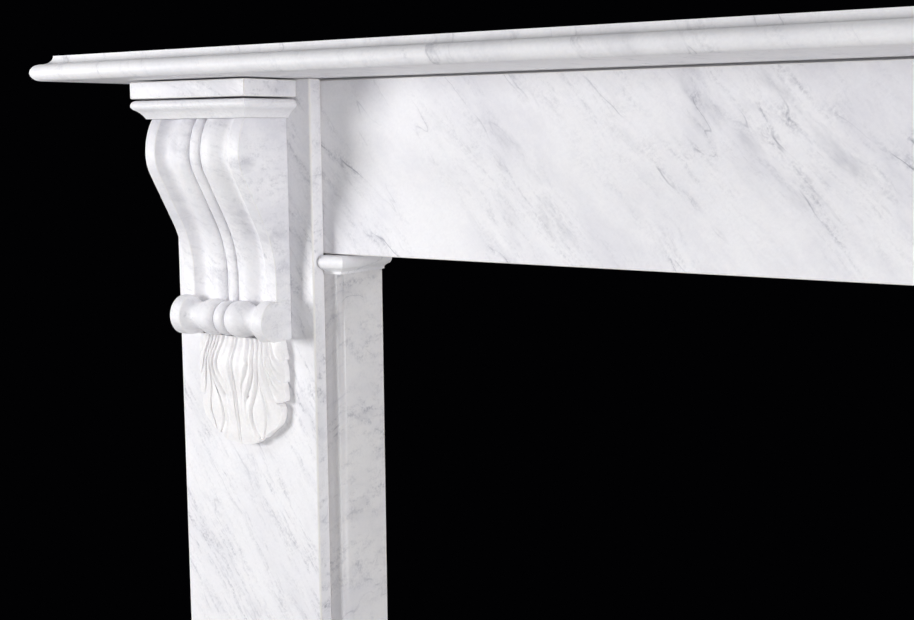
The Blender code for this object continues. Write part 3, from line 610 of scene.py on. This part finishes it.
# Ribs of the right half from its outer edge to the spine: points (out, down, lift) in mm
LEAF_RIBS = (
    ((69, 0, 0), (69.5, 3, 0), (70.3, 6, 0), (71.9, 13, 0)),
    ((64, 0, 1), (66, 8, 1.2), (70, 16, 1), (74.4, 23.5, 0.5)),
    ((59.5, 0, 0.4), (61.5, 10, 0.6), (65.5, 20, 0.8), (71.6, 25.6, 0.8)),
    ((55.3, 0, -1.2), (57.5, 9, -1.6), (60.5, 18, -2), (65, 24.5, -2.2), (71, 26.6, -2.2)),
    ((52.2, 0, 0.6), (55, 12, 1), (60, 24, 1), (67, 31, 0.6), (73.3, 33, 0.2)),
    ((50.8, 0, 0), (54, 14, -0.4), (59.5, 29, -0.6), (66, 38, -0.4), (74.3, 42, 0)),
    ((50, 0, 0.5), (53.8, 15, 1), (59.3, 32, 1.2), (66, 43, 1.2), (74.3, 51.6, 0.8)),
    ((49.6, 0, 0.6), (53.6, 16, 1), (59.2, 34, 1.4), (65.5, 46, 1.4), (71.8, 52.6, 1.2)),
    ((49, 0, -1.5), (53.3, 19, -2), (58.7, 36, -2.2), (64.5, 48, -2.2), (71.5, 53.8, -2)),
    ((45.9, 0, 0.6), (50, 18, 1), (56, 38, 1), (62, 52, 0.8), (72.6, 58.5, 0.2)),
    ((45.2, 0, 0), (49.8, 20, -0.3), (55.6, 42, -0.5), (62, 58, -0.4), (73.3, 65, 0)),
    ((44.4, 0, 0.6), (49.2, 21, 1), (55, 44, 1.2), (62, 63, 1.2), (73.5, 75.4, 0.8)),
    ((43, 0, 0.6), (48, 22, 1), (53.8, 46, 1.4), (59.5, 66, 1.5), (66.8, 77.2, 1.2)),
    ((41.8, 0, -1.6), (46.3, 22, -2.2), (51.5, 42, -2.4), (55.6, 61, -2.4), (59.5, 74.5, -2.2),
     (60.5, 78, -2.2)),
    ((39.6, 0, 0.8), (44.3, 24, 1), (47.5, 48, 1), (52, 68, 0.8), (58, 79, 0.4), (66.6, 81.5, 0)),
    ((39.2, 0, 0.9), (44, 25, 1), (46.8, 50, 1), (51, 72, 0.6), (58, 86, 0.2), (68.5, 88, 0)),
    ((38.8, 0, 0.9), (43.8, 25, 1), (46.2, 52, 1), (50.5, 76, 0.3), (57.5, 93, -0.5), (67, 98, -0.2)),
    ((38.4, 0, 0.9), (43.6, 25, 1), (45.6, 54, 0.9), (50.3, 80, 0.3), (55.5, 98, -0.5), (62.3, 107, -0.2)),
    ((38, 0, 0.9), (43.2, 26, 1), (44.7, 56, 0.9), (49.8, 84, 0.8), (51.5, 101, 0.4), (52.5, 114.5, 0)),
    ((37.6, 0, 0.8), (42.8, 28, 1), (43.6, 58, 0.9), (48.9, 80, 1.1), (50.3, 97, 1.1), (47, 110, 0.9),
     (44.4, 120.6, 0.5)),
    ((37.2, 0, 0.3), (42.2, 30, -0.2), (42.4, 60, -1.2), (46, 77, -1.6), (48.6, 92, -1.8),
     (46.5, 106, -1.7), (42.5, 117, -1.6), (41, 123.2, -1.4)),
    ((36.9, 0, 0), (41.8, 31, -0.6), (41.2, 60, -0.6), (42.5, 77, 0.4), (44, 92, 0.5), (42, 107, 0.5),
     (39.2, 124.8, 0.2)),
    ((36.6, 0, -0.4), (41.4, 32, -1.2), (40, 60, -1.2), (37.5, 77, 0.6), (36.5, 92, 0.8), (36.6, 108, 0.7),
     (37.1, 125.6, 0.2)),
    ((36.2, 0, -0.9), (41, 32, -1.8), (38.6, 58, -1.6), (32.5, 77, 0.2), (29.5, 92, 0.4), (31, 108, 0.4),
     (35.4, 124.6, 0.1)),
    ((35.8, 0, -1.6), (40.4, 25, -2.4), (39.8, 50, -2.6), (34.5, 70, -2.4), (27.7, 83, -2.2),
     (24.3, 95, -2.1), (25.5, 108.5, -2), (33, 123, -1.8)),
    ((32.2, 0, 1), (37.2, 24, 1.2), (37, 46, 1.3), (30.5, 66, 1.3), (23, 84, 1.1), (20.8, 98, 0.9),
     (22.5, 112, 0.7), (29.5, 129.6, 0.3)),
    ((28.4, 0, -1.8), (33.3, 22, -2.4), (34.6, 38, -2.4), (28.4, 56, -2.4), (19.4, 72.5, -2.4),
     (17, 86, -0.4), (17.5, 108, -0.4), (24, 133, -0.2)),
    ((24.6, 0, 1), (29.5, 24, 1.2), (30, 42, 1.3), (23, 58, 1.2), (15.8, 72, 1), (13.8, 88, 0.3),
     (14.3, 110, 0.2), (18.5, 134.2, 0.1)),
    ((20.9, 0, -2.2), (25.6, 26, -2.6), (26.6, 33, -2.6), (22.8, 46, -2.2), (15.7, 55.5, -1.4),
     (11, 75, -0.2), (10, 105, -0.1), (12.5, 134.6, 0)),
    ((16.5, 0, 0.6), (18.8, 22, 0.8), (21.6, 31, 0.8), (17.4, 46, 0.8), (11.5, 60, 0.4), (8.6, 80, 0.2),
     (7.8, 108, 0.1), (9.5, 135.2, 0.1)),
    ((12, 0, -0.6), (13, 16, -0.8), (14.5, 29, -0.8), (12, 46, -0.3), (8, 64, 0), (6, 84, 0),
     (5.5, 110, 0), (6.4, 135.6, 0)),
    ((6.8, 0, 0.4), (7.4, 20, 0.5), (8, 34, 0.4), (7, 50, 0.2), (5.3, 68, 0.1), (4.3, 86, 0.1),
     (4, 110, 0.1), (4.4, 136, 0.1)),
    ((2.6, 0, -1), (2.6, 30, -1.2), (2.4, 60, -1.2), (2.2, 90, -1), (2, 115, -0.8), (2, 136.3, -0.5)),
    ((0, 0, 1), (0, 30, 1.2), (0, 60, 1.2), (0, 90, 1), (0, 115, 0.8), (0, 136.6, 0.5)),
)


def smooth_between(points, t):
    """Point at index t of a list, on a smooth curve through all of them."""
    last = len(points) - 1
    i = min(int(t), last - 1)
    u = t - i
    near = [points[min(max(i + k, 0), last)] for k in (-1, 0, 1, 2)]
    weights = (
        (-u ** 3 + 2 * u ** 2 - u) / 2,
        (3 * u ** 3 - 5 * u ** 2 + 2) / 2,
        (-3 * u ** 3 + 4 * u ** 2 + u) / 2,
        (u ** 3 - u ** 2) / 2,
    )
    return [sum(w * p[k] for w, p in zip(weights, near)) for k in range(len(points[0]))]


def drawn_rib(points, steps):
    """Rib redrawn with evenly spaced points."""
    count = FINE_STEPS * (len(points) - 1)
    fine = [smooth_between(points, i / FINE_STEPS) for i in range(count + 1)]
    run = [0.0]
    for a, b in zip(fine, fine[1:]):
        run.append(run[-1] + math.dist(a[:2], b[:2]))
    even = []
    k = 0
    for i in range(steps + 1):
        target = run[-1] * i / steps
        while k < len(run) - 2 and run[k + 1] < target:
            k += 1
        t = (target - run[k]) / (run[k + 1] - run[k])
        even.append([a + (b - a) * t for a, b in zip(fine[k], fine[k + 1])])
    return even


def spine_height(share):
    """How far the leaf stands off the jamb along its spine, in mm."""
    for (a, low_mm), (b, high_mm) in zip(LEAF_SPINE, LEAF_SPINE[1:]):
        if share <= b:
            t = (share - a) / (b - a)
            t = t * t * (3 - 2 * t)
            return low_mm + (high_mm - low_mm) * t
    return LEAF_SPINE[-1][1]


def carved_leaf(node):
    """Leaf within its CAD node's box, fanned out rib by rib."""
    low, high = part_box(node)
    middle = (low.x + high.x) / 2
    ribs = [drawn_rib(points, LEAF_LONG_STEPS) for points in LEAF_RIBS]
    fan = []
    for i in range((len(ribs) - 1) * LEAF_RIB_STEPS + 1):
        t = i / LEAF_RIB_STEPS
        near = min(int(t), len(ribs) - 2)
        ease = (t - near) ** 2 * (3 - 2 * (t - near))
        line = []
        for row in range(LEAF_LONG_STEPS + 1):
            out, down, _ = smooth_between([rib[row] for rib in ribs], t)
            lift = ribs[near][row][2] + (ribs[near + 1][row][2] - ribs[near][row][2]) * ease
            line.append((out, down, lift))
        fan.append(line)
    whole = [(-1, line) for line in fan] + [(1, line) for line in reversed(fan[:-1])]
    columns = len(whole)
    rows = LEAF_LONG_STEPS + 3
    length = high.z - low.z
    breadth = (high.x - low.x) / 2 / LEAF_DRAWN_HALF_MM
    bm, places = grid(columns, rows)
    for (column, row), vert in places.items():
        sign, line = whole[column]
        out, down, lift = line[min(max(row - 1, 0), LEAF_LONG_STEPS)]
        share = min(max(down * MM / length, 0.0), 1.0)
        crown = spine_height(share)
        across = min(abs(out) / LEAF_DRAWN_HALF_MM, 1.0)
        relief = lift * (1 - EDGE_SOFTENING * across ** 2)
        depth = LEAF_EDGE_MM + (crown - LEAF_EDGE_MM) * (1 - across ** LEAF_SQUARENESS) + relief
        for eye_out, eye_down in EYES:
            away = math.hypot(out - eye_out, down - eye_down) / EYE_RADIUS_MM
            depth -= EYE_DEPTH_MM * math.exp(-away ** 2)
        y = high.y if row in (0, rows - 1) else high.y - max(depth, LEAF_THINNEST_MM) * MM
        vert.co = (middle + sign * out * breadth, y, high.z - down * MM)
    sides = [bm.faces.new([places[c, r] for r in range(rows)]) for c in (0, columns - 1)]
    around = [places[c, 0] for c in range(columns)]
    around += [places[c, rows - 1] for c in range(columns - 1, -1, -1)]
    flat = bm.faces.new(around)
    for poly in bm.faces:
        poly.smooth = poly is not flat and poly not in sides
    close_carving(bm, LEAF_CREASE)
    return bm


for side, seed in (("left", 17.1), ("right", 18.6)):
    stone = carrara(side + "_leaf_carved_white", fall=70, seed=seed, streaks=0.08, clouds=0.2,
                    veins=0.1, ground=CARVED_WHITE)
    node = side + "_acanthus_leaf"
    piece(side + "_leaf_carved", carved_leaf(node), stone, node)

# Studio
# A plain pale floor under the surround and soft lights: a key and a high key from the left, two
# weaker fills from the right, a little light from below, and one behind. The background is dark.
FLOOR_SIZE = 2.2
FLOOR_PALE = "#D8D7D4"
FLOOR_ROUGHNESS = 0.9
BACKGROUND = "#020203"
LEFT_LEG = (-0.45, 0.0, 0.9)
# Name, place, target, side in metres and watts of each light
LIGHTS = (
    ("key", (-2.29, -1.84, 1.0), LEFT_LEG, 0.8, 51),
    ("high_key", (-2.15, -1.70, 2.6), LEFT_LEG, 0.8, 22),
    ("fill", (1.58, -1.08, 1.0), LEFT_LEG, 1.2, 19.5),
    ("side_fill", (3.98, -0.78, 1.0), LEFT_LEG, 2.2, 63),
    ("low_front", (-0.9, -1.2, 0.08), (-0.3, 0.0, 1.1), 1.2, 1.8),
    ("back", (0.6, 2.2, 3.4), (0.0, 0.0, 0.6), 1.6, 55),
)


def softbox(name, place, target, size, watts):
    """Square soft light aimed at a point."""
    data = bpy.data.lights.new(name, 'AREA')
    data.size = size
    data.energy = watts
    light = bpy.data.objects.new(name, data)
    light.location = place
    aim = Vector(target) - Vector(place)
    light.rotation_euler = aim.to_track_quat('-Z', 'Y').to_euler()
    bpy.context.scene.collection.objects.link(light)


bm = bmesh.new()
bmesh.ops.create_grid(bm, x_segments=1, y_segments=1, size=FLOOR_SIZE / 2)
mesh = bpy.data.meshes.new("studio_floor")
bm.to_mesh(mesh)
bm.free()
paper = bpy.data.materials.new("matt_floor_paper")
paper.use_nodes = True
matt = paper.node_tree.nodes["Principled BSDF"]
matt.inputs["Base Color"].default_value = linear(FLOOR_PALE)
matt.inputs["Roughness"].default_value = FLOOR_ROUGHNESS
mesh.materials.append(paper)
floor = bpy.data.objects.new("studio_floor", mesh)
bpy.context.scene.collection.objects.link(floor)

for light in LIGHTS:
    softbox(*light)
world = bpy.data.worlds.new("studio")
world.use_nodes = True
backdrop = world.node_tree.nodes["Background"]
backdrop.inputs["Color"].default_value = linear(BACKGROUND)
backdrop.inputs["Strength"].default_value = 1.0
bpy.context.scene.world = world
bpy.context.scene.view_settings.view_transform = 'Standard'
